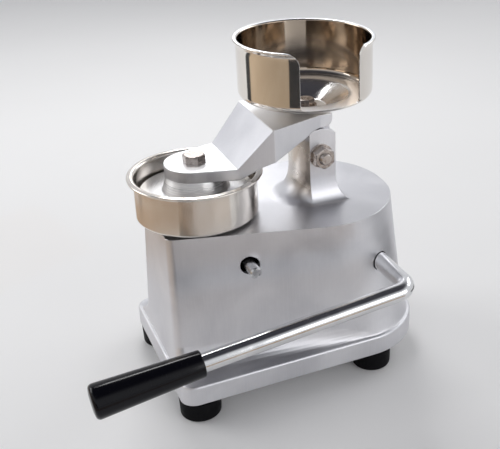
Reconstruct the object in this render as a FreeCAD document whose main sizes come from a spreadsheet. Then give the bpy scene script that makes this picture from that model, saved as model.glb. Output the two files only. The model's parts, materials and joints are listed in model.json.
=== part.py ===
import FreeCAD, Part
import math
import os
import Sketcher
from FreeCAD import Placement, Rotation, Vector

# A hand-operated patty press for 100 mm patties.  Millimetres, +Z up.
# +X points to the side that carries the handle, +Y to the rear, and the operator stands at -Y.
# The origin is on the ground, under the middle of the whole machine's box.  Lengths below are
# counted from the middle of the base flange, and heights from a level a little above the ground;
# settle() carries each piece into the frame.

DRIVING_SIZES = {
    # the point that lengths and heights are counted from, seen from the origin
    "flange_middle_x": -27.95,
    "flange_middle_y": 38.969,
    "datum_height": 7.5,
    # base casting: the flange it stands on, its walls and its deck
    "flange_half_width": 78.5,
    "flange_half_length": 117.5,
    "flange_bottom": 12.0,
    "flange_top": 30.0,
    "flange_front_corner": 13.0,
    "flange_rear_corner": 60.0,
    "flange_edge_radius": 2.5,
    "cove_top": 54.0,
    "deck_top": 146.0,
    "deck_thickness": 6.0,
    "deck_front": -110.0,
    "deck_rear": 101.0,
    "deck_half_front": 39.5,
    "deck_half_rear": 74.0,
    "deck_front_corner": 7.0,
    "deck_rear_corner": 70.0,
    "foot_front": -114.0,
    "foot_rear": 111.0,
    "foot_half_front": 50.0,
    "foot_half_rear": 74.5,
    "foot_front_corner": 9.0,
    "foot_rear_corner": 57.0,
    "wall_thickness": 5.0,
    # column that carries the press arm
    "column_half_width": 24.0,
    "column_front_edge": 21.5,
    "column_front_crown": 15.5,
    "column_rear": 45.5,
    "column_top_radius": 23.5,
    "column_flare": 22.0,
    "column_flare_aside": 9.2,
    "column_flare_behind": 12.1,
    "column_flare_top": 170.0,
    "column_gap_half": 17.0,
    "column_gap_floor": 174.0,
    "column_gap_front": 20.5,
    "link_slot_half": 5.0,
    "link_slot_front": 38.0,
    "link_slot_rear": 56.5,
    # bosses and lugs inside the casting
    "near_boss_radius": 14.0,
    "far_boss_radius": 12.5,
    "screw_boss_radius": 9.0,
    "lug_radius": 12.0,
    # axes
    "mould_axis": -72.0,
    "paper_axis": 29.0,
    "pivot_across": 31.5,
    "pivot_up": 189.0,
    "shaft_across": 66.5,
    "shaft_up": 100.5,
    "lever_across": -47.5,
    "lever_up": 117.5,
    # linkage
    "crank_throw": 13.0,
    "crank_angle": 52.0,
    "ejector_throw": 22.0,
    "ejector_angle": -68.5,
    "lever_hub_radius": 10.0,
    "nose_reach": 28.0,
    "nose_angle": 218.0,
    "nose_radius": 5.0,
    "knee_reach": 22.6,
    "knee_angle": 242.3,
    "knee_radius": 5.5,
    "rod_rest_gap": 0.35,
    "link_half_thick": 3.0,
    "link_half_width": 4.0,
    "link_eye_radius": 5.5,
    "link_pin_radius": 2.5,
    "ejector_pin_radius": 3.0,
    "ejector_link_inner": -16.6,
    "ejector_link_outer": -21.6,
    "ejector_eye_radius": 6.5,
    "crank_hub_radius": 11.0,
    "crank_fork_inner": 3.6,
    "crank_fork_outer": 9.6,
    "side_arm_inner": -10.0,
    "side_arm_outer": -16.0,
    "side_arm_radius": 7.0,
    "crank_screw_across": 19.0,
    "crank_screw_radius": 2.5,
    "running_gap": 0.05,
    "open_pivot_gap": 0.25,
    # press arm
    "tab_bottom": 184.3,
    "tab_top": 193.8,
    "tab_radius": 25.0,
    "arm_top": 225.0,
    "arm_lower_knee": -46.0,
    "arm_upper_knee": -17.0,
    "arm_half_width": 41.0,
    "arm_rear": 43.0,
    "arm_arc_radius": 24.6,
    "arm_rear_rounding": 8.0,
    "tongue_half_width": 15.9,
    "tongue_boss_radius": 10.4,
    # bowls and plates
    "bowl_lip_radius": 56.0,
    "bowl_wall_radius": 51.0,
    "bowl_bottom": 148.3,
    "bowl_rim": 185.0,
    "sheet": 1.5,
    "paper_lip_radius": 59.4,
    "paper_wall_radius": 57.0,
    "paper_bottom": 237.3,
    "paper_rim": 288.0,
    "paper_notch_half": 26.0,
    "plate_radius": 46.8,
    "plate_bottom": 167.5,
    "plate_edge": 3.0,
    "plate_hub_top_radius": 24.2,
    "plate_hub_foot_radius": 27.5,
    "disc_radius": 48.9,
    "disc_bottom": 153.0,
    "disc_thickness": 3.0,
    # fasteners and turned parts
    "bolt_radius": 5.0,
    "hex_radius": 9.8,
    "hex_height": 6.5,
    "washer_radius": 10.5,
    "washer_thickness": 1.6,
    "ejector_radius": 6.0,
    "bush_radius": 9.0,
    "bush_flange_radius": 15.0,
    "bush_flange": 2.8,
    "bush_foot": 133.5,
    "guide_nut_radius": 15.5,
    "guide_nut_height": 6.0,
    "lever_pin_radius": 5.0,
    "lever_pin_end": 70.5,
    "lever_hole_radius": 8.0,
    "lug_inner": 16.5,
    "lug_outer": 24.0,
    # handle
    "rod_radius": 7.5,
    "journal_radius": 6.0,
    "journal_shoulder": 30.0,
    "rod_side": 121.0,
    "rod_length": 238.0,
    "bend_radius": 11.0,
    "handle_slope": 5.7,
    "grip_start": 178.5,
    "grip_end": 262.5,
    "grip_rear_radius": 10.5,
    "grip_front_radius": 13.4,
    "bearing_near_inner": 38.0,
    "bearing_near_outer": 57.0,
    "bearing_far_depth": 52.0,
    # feet
    "foot_pad_radius": 17.8,
    "foot_pad_foot_radius": 17.2,
    "foot_pad_rounding": 3.0,
    "foot_pad_top": 10.5,
    "foot_recess_radius": 7.0,
    "foot_screw_seat": 5.0,
    "foot_pad_across": 60.5,
    "foot_pad_front": -99.5,
    "foot_pad_rear": 62.5,
    "foot_screw_radius": 3.0,
}

document = FreeCAD.newDocument("patty_press")
sheet = document.addObject("Spreadsheet::Sheet", "Sizes")
for line, (name, amount) in enumerate(DRIVING_SIZES.items(), start=1):
    sheet.set(f"A{line}", name)
    sheet.set(f"B{line}", str(amount))
    sheet.setAlias(f"B{line}", name)
document.recompute()


class Size:
    """A length with its present value and the sheet expression it follows."""

    def __init__(self, amount, text):
        self.amount = amount
        self.text = text

    def __add__(self, other):
        return Size(self.amount + amount_of(other), f"({self.text} + {text_of(other)})")

    def __radd__(self, other):
        return self + other

    def __sub__(self, other):
        return Size(self.amount - amount_of(other), f"({self.text} - {text_of(other)})")

    def __rsub__(self, other):
        return Size(amount_of(other) - self.amount, f"({text_of(other)} - {self.text})")

    def __mul__(self, other):
        return Size(self.amount * amount_of(other), f"({self.text} * {text_of(other)})")

    def __rmul__(self, other):
        return self * other

    def __neg__(self):
        return Size(-self.amount, f"(0 - {self.text})")


def amount_of(length):
    return length.amount if isinstance(length, Size) else float(length)


def text_of(length):
    return length.text if isinstance(length, Size) else f"({float(length):.6f})"


def size(name):
    return Size(float(sheet.get(name)), f"Sizes.{name}")


def value(name):
    return float(sheet.get(name))


def polar(radius, degrees):
    """Offset of a point at this radius and angle, as a pair of lengths."""
    angle = math.radians(degrees)
    return radius * math.cos(angle), radius * math.sin(angle)


# --- sketches ---------------------------------------------------------------------------------

def bind(thing, prop, length):
    if isinstance(length, Size):
        thing.setExpression(prop, length.text)


def settle(thing, across=0.0, along=0.0, up=0.0):
    """Puts a piece's own zero at a point counted from the flange's middle at datum level."""
    point = (size("flange_middle_x") + across, size("flange_middle_y") + along, size("datum_height") + up)
    place = Vector(*[amount_of(length) for length in point])
    thing.Placement = Placement(place, thing.Placement.Rotation)
    for letter, length in zip("xyz", point):
        bind(thing, f"Placement.Base.{letter}", length)


def new_body(name):
    body = document.addObject("PartDesign::Body", name)
    body.Label = name
    settle(body)
    return body


def plain_part(name, shape):
    """A sub-part whose shape is made directly, as castings are."""
    feature = document.addObject("Part::Feature", name)
    feature.Shape = shape
    feature.Label = name
    settle(feature)
    return feature


def sketch_on(body, role, offset=0.0):
    """An empty sketch on one of the body's own origin planes, moved along the plane's normal."""
    plane = next(part for part in body.Origin.OriginFeatures if part.Role == role)
    sketch = body.newObject("Sketcher::SketchObject", f"{body.Name}_sketch")
    sketch.AttachmentSupport = (plane, [""])
    sketch.MapMode = "FlatFace"
    sketch.AttachmentOffset = Placement(Vector(0, 0, amount_of(offset)), Rotation())
    bind(sketch, "AttachmentOffset.Base.z", offset)
    return sketch


def dimension(sketch, constraint, length):
    index = sketch.addConstraint(constraint)
    bind(sketch, f"Constraints[{index}]", length)


def fix_point(sketch, edge, end, across, up):
    for kind, length in (("DistanceX", across), ("DistanceY", up)):
        dimension(sketch, Sketcher.Constraint(kind, -1, 1, edge, end, amount_of(length)), length)


def add_polygon(sketch, corners):
    points = [Vector(amount_of(across), amount_of(up), 0) for across, up in corners]
    count = len(points)
    first = sketch.GeometryCount
    for index in range(count):
        sketch.addGeometry(Part.LineSegment(points[index], points[(index + 1) % count]))
    for index in range(count):
        following = first + (index + 1) % count
        sketch.addConstraint(Sketcher.Constraint("Coincident", first + index, 2, following, 1))
    for index, (across, up) in enumerate(corners):
        fix_point(sketch, first + index, 1, across, up)


def add_circle(sketch, across, up, radius):
    centre = Vector(amount_of(across), amount_of(up), 0)
    edge = sketch.addGeometry(Part.Circle(centre, Vector(0, 0, 1), amount_of(radius)))
    fix_point(sketch, edge, 3, across, up)
    dimension(sketch, Sketcher.Constraint("Radius", edge, amount_of(radius)), radius)


def add_hexagon(sketch, radius):
    add_polygon(sketch, [polar(radius, 60.0 * corner) for corner in range(6)])


def add_bar(sketch, start, start_radius, end, end_radius):
    """A bar outline: two round ends joined by the lines that touch both."""
    first = Vector(amount_of(start[0]), amount_of(start[1]), 0)
    last = Vector(amount_of(end[0]), amount_of(end[1]), 0)
    small, large = amount_of(start_radius), amount_of(end_radius)
    span = last - first
    heading = math.atan2(span.y, span.x)
    lean = math.acos((small - large) / span.Length)
    sides = [heading + lean, heading - lean]

    def touch(centre, radius, angle):
        return centre + Vector(radius * math.cos(angle), radius * math.sin(angle), 0)

    normal = Vector(0, 0, 1)
    start_arc = sketch.addGeometry(
        Part.ArcOfCircle(Part.Circle(first, normal, small), sides[0], sides[1] + 2 * math.pi))
    end_arc = sketch.addGeometry(
        Part.ArcOfCircle(Part.Circle(last, normal, large), sides[1], sides[0]))
    lower = sketch.addGeometry(
        Part.LineSegment(touch(first, small, sides[1]), touch(last, large, sides[1])))
    upper = sketch.addGeometry(
        Part.LineSegment(touch(last, large, sides[0]), touch(first, small, sides[0])))
    joins = ((start_arc, 2, lower, 1), (lower, 2, end_arc, 1),
             (end_arc, 2, upper, 1), (upper, 2, start_arc, 1))
    for join in joins:
        sketch.addConstraint(Sketcher.Constraint("Tangent", *join))
    fix_point(sketch, start_arc, 3, *start)
    fix_point(sketch, end_arc, 3, *end)
    dimension(sketch, Sketcher.Constraint("Radius", start_arc, small), start_radius)
    dimension(sketch, Sketcher.Constraint("Radius", end_arc, large), end_radius)


# --- features ---------------------------------------------------------------------------------

def pad(body, sketch, length):
    feature = body.newObject("PartDesign::Pad", f"{body.Name}_pad")
    feature.Profile = sketch
    feature.Length = amount_of(length)
    bind(feature, "Length", length)
    body.Tip = feature
    return feature


def pocket(body, sketch, length):
    """Cuts along the sketch's own normal, from the sketch's plane."""
    feature = body.newObject("PartDesign::Pocket", f"{body.Name}_pocket")
    feature.Profile = sketch
    feature.Reversed = True
    feature.Length = amount_of(length)
    bind(feature, "Length", length)
    body.Tip = feature
    return feature


def revolve(body, corners, kind="PartDesign::Revolution"):
    """Turns a profile of (radius, height) corners round the body's own Z axis."""
    sketch = sketch_on(body, "XZ_Plane")
    add_polygon(sketch, corners)
    feature = body.newObject(kind, f"{body.Name}_turned")
    feature.Profile = sketch
    feature.ReferenceAxis = (sketch, ["V_Axis"])
    feature.Angle = 360
    body.Tip = feature
    return feature


def slab(body, low, high, draw):
    """A plate across the machine, from x = low to x = high, with the outline that draw makes."""
    sketch = sketch_on(body, "YZ_Plane", low)
    draw(sketch)
    return pad(body, sketch, high - low)


def cross_bore(body, low, high, across, up, radius):
    sketch = sketch_on(body, "YZ_Plane", low)
    add_circle(sketch, across, up, radius)
    return pocket(body, sketch, high - low)


def stand_on_axis(body, across):
    """Puts a body turned round Z onto an upright axis of the machine's middle plane."""
    settle(body, along=across)


# --- base casting -----------------------------------------------------------------------------

OUTLINE_KEYS = ("front", "rear", "half_front", "half_rear", "front_corner", "rear_corner")


def named_outline(prefix):
    return {key: value(f"{prefix}_{key}") for key in OUTLINE_KEYS}


def flange_shape():
    half_length = value("flange_half_length")
    half_width = value("flange_half_width")
    return {
        "front": -half_length,
        "rear": half_length,
        "half_front": half_width,
        "half_rear": half_width,
        "front_corner": value("flange_front_corner"),
        "rear_corner": value("flange_rear_corner"),
    }


def blend(first, second, share):
    return {key: first[key] + share * (second[key] - first[key]) for key in OUTLINE_KEYS}


def inset(shape, distance):
    least_corner = 1.0
    return {
        "front": shape["front"] + distance,
        "rear": shape["rear"] - distance,
        "half_front": shape["half_front"] - distance,
        "half_rear": shape["half_rear"] - distance,
        "front_corner": max(shape["front_corner"] - distance, least_corner),
        "rear_corner": max(shape["rear_corner"] - distance, least_corner),
    }


def outline_wire(shape, level):
    """Closed outline with two small front corners, two large rear corners and straight flanks."""
    small = shape["front_corner"]
    large = shape["rear_corner"]
    front_centre = Vector(shape["half_front"] - small, shape["front"] + small, level)
    rear_centre = Vector(shape["half_rear"] - large, shape["rear"] - large, level)
    span = rear_centre - front_centre
    facing = math.atan2(span.y, span.x) - math.acos((small - large) / span.Length)

    def on_corner(centre, radius, angle):
        return centre + Vector(radius * math.cos(angle), radius * math.sin(angle), 0)

    def arc(centre, radius, begin, end):
        ends = [on_corner(centre, radius, angle) for angle in (begin, (begin + end) / 2, end)]
        return ends

    front_arc = arc(front_centre, small, -math.pi / 2, facing)
    rear_arc = arc(rear_centre, large, facing, math.pi / 2)

    def mirrored(points):
        return [Vector(-point.x, point.y, point.z) for point in reversed(points)]

    edges = [
        Part.LineSegment(mirrored(front_arc)[2], front_arc[0]),
        Part.Arc(*front_arc),
        Part.LineSegment(front_arc[2], rear_arc[0]),
        Part.Arc(*rear_arc),
        Part.LineSegment(rear_arc[2], mirrored(rear_arc)[0]),
        Part.Arc(*mirrored(rear_arc)),
        Part.LineSegment(mirrored(rear_arc)[2], mirrored(front_arc)[0]),
        Part.Arc(*mirrored(front_arc)),
    ]
    return Part.Wire([edge.toShape() for edge in edges])


def wall_shape(level):
    """Outline of the casting's wall at a height, between the flange's top and the deck."""
    share = (value("deck_top") - level) / (value("deck_top") - value("flange_top"))
    return blend(named_outline("deck"), named_outline("foot"), share)


def cove_fall(share):
    """Quarter-circle fall-off, 0 at share 0 and 1 at share 1, flat at the far end."""
    return 1 - math.sqrt(1 - share * share)


COVE_STEPS = [math.sin(math.radians(10 * step)) for step in range(10)]


def x_cylinder(radius, low, high, across, up):
    return Part.makeCylinder(radius, high - low, Vector(low, across, up), Vector(1, 0, 0))


def prism(corners, low, high):
    """A prism along X from corners given as (y, z)."""
    points = [Vector(low, across, up) for across, up in corners]
    return Part.Face(Part.makePolygon(points + points[:1])).extrude(Vector(high - low, 0, 0))


def casting_outside():
    flange_top = value("flange_top")
    cove_top = value("cove_top")
    wall = Part.makeLoft(
        [outline_wire(wall_shape(level), level) for level in (flange_top, value("deck_top"))], True, True)
    ledge = inset(flange_shape(), value("flange_edge_radius"))
    sunk = 0.4
    levels = [cove_top - share * (cove_top - flange_top) for share in COVE_STEPS]
    cove = Part.makeLoft(
        [outline_wire(blend(inset(wall_shape(level), sunk), ledge, cove_fall(share)), level)
         for share, level in zip(COVE_STEPS, levels)], True, True)
    bottom = value("flange_bottom")
    flange = Part.Face(outline_wire(flange_shape(), bottom)).extrude(Vector(0, 0, flange_top - bottom))
    rounded = [edge for edge in flange.Edges
               if edge.BoundBox.ZMin > flange_top - 0.01]
    flange = flange.makeFillet(value("flange_edge_radius"), rounded)
    return wall.fuse([cove, flange]).removeSplitter()


def casting_hollow():
    """Space inside the walls and under the flange's ledge."""
    thickness = value("wall_thickness")
    bottom = value("flange_bottom")
    ceiling = value("deck_top") - value("deck_thickness")
    inner = Part.makeLoft(
        [outline_wire(inset(wall_shape(bottom), thickness), bottom),
         outline_wire(inset(wall_shape(ceiling), thickness), ceiling)], True, True)
    tray_height = value("flange_top") - thickness - bottom
    tray = Part.Face(outline_wire(inset(flange_shape(), thickness), bottom)).extrude(
        Vector(0, 0, tray_height))
    return inner.fuse(tray)


def column_wire(level, share):
    """Plan of the column with a crowned front; share goes from 0 at the shank to 1 at the deck."""
    half = value("column_half_width") + share * value("column_flare_aside")
    edge = value("column_front_edge")
    crown = value("column_front_crown") - share * value("column_flare")
    rear = value("column_rear") + share * value("column_flare_behind")
    left, right = Vector(-half, edge, level), Vector(half, edge, level)
    return Part.Wire([
        Part.Arc(left, Vector(0, crown, level), right).toShape(),
        Part.LineSegment(right, Vector(half, rear, level)).toShape(),
        Part.LineSegment(Vector(half, rear, level), Vector(-half, rear, level)).toShape(),
        Part.LineSegment(Vector(-half, rear, level), left).toShape(),
    ])


def casting_column():
    deck = value("deck_top")
    flare_top = value("column_flare_top")
    top = value("pivot_up") + value("column_top_radius") + 2
    shank = Part.Face(column_wire(deck - 2, 0)).extrude(Vector(0, 0, top - deck + 2))
    levels = [flare_top - share * (flare_top - deck) for share in COVE_STEPS]
    foot = Part.makeLoft(
        [column_wire(level, cove_fall(share)) for share, level in zip(COVE_STEPS, levels)], True, False)
    across, up = value("pivot_across"), value("pivot_up")
    reach = 2 * value("column_top_radius")
    half = value("column_half_width") + 1
    above = Part.makeBox(2 * half, 2 * reach, reach, Vector(-half, across - reach, up))
    crown = x_cylinder(value("column_top_radius"), -half, half, across, up)
    return shank.fuse(foot).cut(above.cut(crown))


def casting_bosses(outside):
    """Shaft bosses, lever lugs and foot-screw bosses, kept inside the casting's skin."""
    across, up = value("shaft_across"), value("shaft_up")
    inner = value("bearing_near_inner")
    outer = value("flange_half_width")
    near = x_cylinder(value("near_boss_radius"), inner, outer, across, up)
    far = x_cylinder(value("far_boss_radius"), -outer, -inner, across, up)
    round_bosses = near.fuse(far).common(outside)
    lug_radius = value("lug_radius")
    ceiling = value("deck_top") - value("deck_thickness") + 1
    across, up = value("lever_across"), value("lever_up")
    parts = [round_bosses]
    lug_inner, lug_outer = value("lug_inner"), value("lug_outer")
    for low, high in ((-lug_outer, -lug_inner), (lug_inner, lug_outer)):
        plate = prism([(across - lug_radius, up), (across + lug_radius, up),
                       (across + lug_radius, ceiling), (across - lug_radius, ceiling)], low, high)
        parts.append(plate.fuse(x_cylinder(lug_radius, low, high, across, up)))
    bottom = value("flange_bottom")
    height = value("flange_top") - bottom - 2
    for foot in foot_places():
        parts.append(Part.makeCylinder(
            value("screw_boss_radius"), height, foot + Vector(0, 0, bottom)))
    return parts


def foot_places():
    side = value("foot_pad_across")
    return [Vector(x, y, 0) for x in (-side, side)
            for y in (value("foot_pad_front"), value("foot_pad_rear"))]


def casting_openings():
    """Everything bored or slotted in the casting."""
    pivot = value("pivot_across"), value("pivot_up")
    shaft = value("shaft_across"), value("shaft_up")
    lever = value("lever_across"), value("lever_up")
    half = value("column_half_width") + 1
    gap = value("column_gap_half")
    front = value("column_gap_front")
    behind = 90.0
    floor = value("column_gap_floor")
    deck = value("deck_top")
    journal = value("journal_radius")
    near = value("bearing_near_outer")
    slot_half = value("link_slot_half")
    slot_front = value("link_slot_front")
    slot_rear = value("link_slot_rear")
    running = 2.0
    sealed = 0.7
    openings = [
        x_cylinder(value("bolt_radius"), -half, half, *pivot),
        Part.makeBox(2 * gap, behind - front, 60, Vector(-gap, front, floor)),
        Part.makeBox(2 * slot_half, slot_rear - slot_front, floor - deck + 12,
                     Vector(-slot_half, slot_front, deck - 10)),
        Part.makeBox(2 * slot_half, behind - slot_rear, floor - deck,
                     Vector(-slot_half, slot_rear, deck)),
        x_cylinder(value("rod_radius") + running, 0, near, *shaft),
        x_cylinder(value("rod_radius") + sealed, near, 2 * near, *shaft),
        x_cylinder(journal + running, -value("bearing_far_depth"), 0, *shaft),
        x_cylinder(value("lever_pin_radius"), -value("lug_outer"), value("lug_outer"), *lever),
        x_cylinder(value("lever_hole_radius"), value("lug_outer") + 5, value("flange_half_width"),
                   *lever),
        Part.makeCylinder(value("bush_radius"), 30, Vector(0, value("mould_axis"), deck - 20)),
    ]
    depth = value("flange_top") - value("flange_bottom") - 6
    for foot in foot_places():
        openings.append(Part.makeCylinder(
            value("foot_screw_radius"), depth, foot + Vector(0, 0, value("flange_bottom"))))
    return openings


def make_housing():
    outside = casting_outside()
    shell = outside.cut(casting_hollow())
    solid = shell.fuse([casting_column()] + casting_bosses(outside))
    return plain_part("housing", solid.cut(casting_openings()).removeSplitter())


SCREW_PLAY = 0.3


def make_bottom_plate():
    thickness = 1.5
    margin = 4.0
    level = value("flange_bottom") - thickness
    outline = Part.Face(outline_wire(inset(flange_shape(), margin), level))
    plate = outline.extrude(Vector(0, 0, thickness))
    for foot in foot_places():
        plate = plate.cut(Part.makeCylinder(value("foot_screw_radius") + SCREW_PLAY, thickness,
                                            foot + Vector(0, 0, level)))
    return plain_part("bottom_plate", plate)


def four_of(name, single):
    """Four equal solids, one under each corner of the base, in one sub-part."""
    return plain_part(name, Part.Compound([single.translated(place) for place in foot_places()]))


def make_feet():
    """Rubber feet with a recess that takes the head of the screw."""
    ground = -value("datum_height")
    top = value("foot_pad_top")
    cone = Part.makeCone(value("foot_pad_foot_radius"), value("foot_pad_radius"), top - ground,
                         Vector(0, 0, ground))
    rim = [edge for edge in cone.Edges if edge.BoundBox.ZMax < ground + 0.01]
    pad_shape = cone.makeFillet(value("foot_pad_rounding"), rim)
    bore = Part.makeCylinder(value("foot_screw_radius") + SCREW_PLAY, top - ground, Vector(0, 0, ground))
    recess = Part.makeCylinder(value("foot_recess_radius"), value("foot_screw_seat") - ground,
                               Vector(0, 0, ground))
    return four_of("feet", pad_shape.cut([bore, recess]))


def make_foot_screws():
    head_height, head_radius = 3.5, 5.5
    slot_depth, slot_width = 1.2, 1.4
    depth_left = 6.0
    seat = value("foot_screw_seat")
    head = Part.makeCylinder(head_radius, head_height, Vector(0, 0, seat - head_height))
    length = value("flange_top") - depth_left - seat
    slot = Part.makeBox(2 * head_radius, slot_width, slot_depth,
                        Vector(-head_radius, -slot_width / 2, seat - head_height))
    shank = Part.makeCylinder(value("foot_screw_radius"), length, Vector(0, 0, seat))
    return four_of("foot_screws", head.fuse(shank).cut(slot))


# --- mould, ejector and bowls -----------------------------------------------------------------

def make_mould_bowl():
    body = new_body("mould_bowl")
    outer, lip, rim = size("bowl_wall_radius"), size("bowl_lip_radius"), size("bowl_rim")
    bottom, skin, hole = size("bowl_bottom"), size("sheet"), size("bush_radius")
    revolve(body, [
        (hole, bottom), (outer - 2, bottom), (outer - 0.6, bottom + 0.6), (outer, bottom + 2),
        (outer, rim - 4), (outer + 1.2, rim - 2.6), (lip - 1.2, rim - 2.6), (lip - 0.3, rim - 2.0),
        (lip, rim - 1.2), (lip - 0.4, rim - 0.3), (lip - 1.3, rim), (outer + 1.0, rim),
        (outer - 0.6, rim - 0.8), (outer - skin, rim - 2.6),
        (outer - skin, bottom + skin + 1), (outer - skin - 1, bottom + skin), (hole, bottom + skin),
    ])
    stand_on_axis(body, size("mould_axis"))
    return body


def make_bowl_spacer():
    body = new_body("bowl_spacer")
    revolve(body, [(size("bush_radius"), size("deck_top")), (26.0, size("deck_top")),
                   (26.0, size("bowl_bottom")), (size("bush_radius"), size("bowl_bottom"))])
    stand_on_axis(body, size("mould_axis"))
    return body


def make_guide_bush():
    body = new_body("guide_bush")
    bore = size("ejector_radius") + size("running_gap")
    seat = size("bowl_bottom") + size("sheet")
    top = seat + size("bush_flange")
    flange, outer, foot = size("bush_flange_radius"), size("bush_radius"), size("bush_foot")
    revolve(body, [(bore, foot), (outer - 0.8, foot), (outer, foot + 0.8), (outer, seat), (flange, seat),
                   (flange, top - 0.6), (flange - 0.6, top), (bore, top)])
    stand_on_axis(body, size("mould_axis"))
    return body


def hex_block(body, low, high, radius):
    sketch = sketch_on(body, "XY_Plane", low)
    add_hexagon(sketch, radius)
    return pad(body, sketch, high - low)


def upright_bore(body, low, high, radius):
    sketch = sketch_on(body, "XY_Plane", low)
    add_circle(sketch, 0.0, 0.0, radius)
    return pocket(body, sketch, high - low)


def make_guide_nut():
    body = new_body("guide_nut")
    top = size("deck_top") - size("deck_thickness")
    low = top - size("guide_nut_height")
    hex_block(body, low, top, size("guide_nut_radius"))
    upright_bore(body, low, top, size("bush_radius"))
    stand_on_axis(body, size("mould_axis"))
    return body


def make_ejector_disc():
    body = new_body("ejector_disc")
    low = size("disc_bottom")
    top = low + size("disc_thickness")
    radius = size("disc_radius")
    hole = 2.6
    revolve(body, [(hole, low), (radius - 0.4, low), (radius, low + 0.4), (radius, top - 0.4),
                   (radius - 0.4, top), (5.2, top), (hole, top - 2.6)])
    stand_on_axis(body, size("mould_axis"))
    return body


def make_ejector_rod():
    body = new_body("ejector_rod")
    nose_top = size("lever_up") + size("nose_reach") * math.sin(math.radians(value("nose_angle"))) \
        + size("nose_radius")
    foot = nose_top + size("rod_rest_gap")
    radius, top = size("ejector_radius"), size("disc_bottom")
    hole, hole_foot = 2.5, size("disc_bottom") - 14.0
    revolve(body, [(0.0, foot), (radius - 0.8, foot), (radius, foot + 0.8), (radius, top - 0.6),
                   (radius - 0.6, top), (hole, top), (hole, hole_foot), (0.0, hole_foot)])
    stand_on_axis(body, size("mould_axis"))
    return body


def make_disc_screw():
    body = new_body("disc_screw")
    top = size("disc_bottom") + size("disc_thickness")
    slot_half, slot_depth = 0.6, 1.2
    revolve(body, [(0.0, top - 15.0), (2.0, top - 15.0), (2.5, top - 14.5), (2.5, top - 2.6),
                   (5.0, top - 0.1), (0.0, top - 0.1)])
    sketch = sketch_on(body, "XY_Plane", top - slot_depth)
    add_polygon(sketch, [(-6.0, -slot_half), (6.0, -slot_half), (6.0, slot_half), (-6.0, slot_half)])
    pocket(body, sketch, slot_depth)
    stand_on_axis(body, size("mould_axis"))
    return body


def make_paper_bowl():
    body = new_body("paper_bowl")
    outer, lip, rim = size("paper_wall_radius"), size("paper_lip_radius"), size("paper_rim")
    bottom, skin, seat = size("paper_bottom"), size("sheet"), size("arm_top")
    corner = 7.0
    hole = 4.2

    def rounded(centre_radius, centre_up, radius, start, end):
        points = []
        for step in range(6):
            across, up = polar(radius, start + (end - start) * step / 5)
            points.append((centre_radius + across, centre_up + up))
        return points

    outside = rounded(outer - corner, bottom + corner, corner, -90, 0)
    inside = rounded(outer - corner, bottom + corner, corner - amount_of(skin), 0, -90)
    profile = [(hole, seat), (17.0, seat), (19.0, seat + 0.8), (37.0, bottom - 0.6), (40.0, bottom)]
    profile += outside
    profile += [(outer, rim - 4.5), (outer + 0.6, rim - 2.5), (lip - 0.5, rim - 1.4), (lip, rim - 0.7),
                (lip - 0.5, rim), (outer + 0.3, rim), (outer - skin + 0.3, rim - 1.2),
                (outer - skin, rim - 4.0)]
    profile += inside
    profile += [(40.5, bottom + skin), (36.0, bottom + skin - 0.8), (18.4, seat + skin + 0.9),
                (16.5, seat + skin), (hole, seat + skin)]
    revolve(body, profile)

    half, floor, shoulder = size("paper_notch_half"), size("paper_bottom") + 3.6, 11.0
    sketch = sketch_on(body, "YZ_Plane", 5.0)
    right = [(half, rim - shoulder)]
    for step in range(1, 7):
        across, up = polar(shoulder, 180 - 15 * step)
        right.append((half + shoulder + across, rim - shoulder + up))
    right += [(half + shoulder, rim + 5)]
    left = [(-across, up) for across, up in reversed(right)]
    low = [(-half, floor + 3), (-half + 0.9, floor + 0.9), (-half + 3, floor),
           (half - 3, floor), (half - 0.9, floor + 0.9), (half, floor + 3)]
    add_polygon(sketch, low + right + left)
    pocket(body, sketch, size("paper_lip_radius"))
    stand_on_axis(body, size("paper_axis"))
    return body


def make_washer(name, low, hole, outer, thickness, axis):
    body = new_body(name)
    revolve(body, [(hole, low), (outer, low), (outer, low + thickness), (hole, low + thickness)])
    stand_on_axis(body, axis)
    return body


def make_upright_bolt(name, seat, length, shank, head_radius, head_height, axis):
    """Hexagon bolt with its head on a seat and its shank pointing down."""
    body = new_body(name)
    revolve(body, [(0.0, seat - length), (shank - 1, seat - length), (shank, seat - length + 1),
                   (shank, seat), (0.0, seat)])
    hex_block(body, seat, seat + head_height, head_radius)
    crown = head_radius * 0.87
    top = seat + head_height
    revolve(body, [(crown, top), (head_radius + 1, top), (head_radius + 1, top - 1.2)],
            "PartDesign::Groove")
    stand_on_axis(body, axis)
    return body


def make_press_plate():
    body = new_body("press_plate")
    bottom, edge, radius = size("plate_bottom"), size("plate_edge"), size("plate_radius")
    top = size("tab_bottom")
    revolve(body, [
        (size("bolt_radius"), bottom), (radius - 1, bottom), (radius, bottom + 1),
        (radius, bottom + edge - 0.6), (radius - 0.6, bottom + edge),
        (size("plate_hub_foot_radius") + 3, bottom + edge),
        (size("plate_hub_foot_radius") + 0.8, bottom + edge + 0.8),
        (size("plate_hub_foot_radius"), bottom + edge + 2.4),
        (size("plate_hub_top_radius"), top - 0.6), (size("plate_hub_top_radius") - 0.6, top),
        (size("bolt_radius"), top)])
    stand_on_axis(body, size("mould_axis"))
    return body


# --- press arm --------------------------------------------------------------------------------

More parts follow.
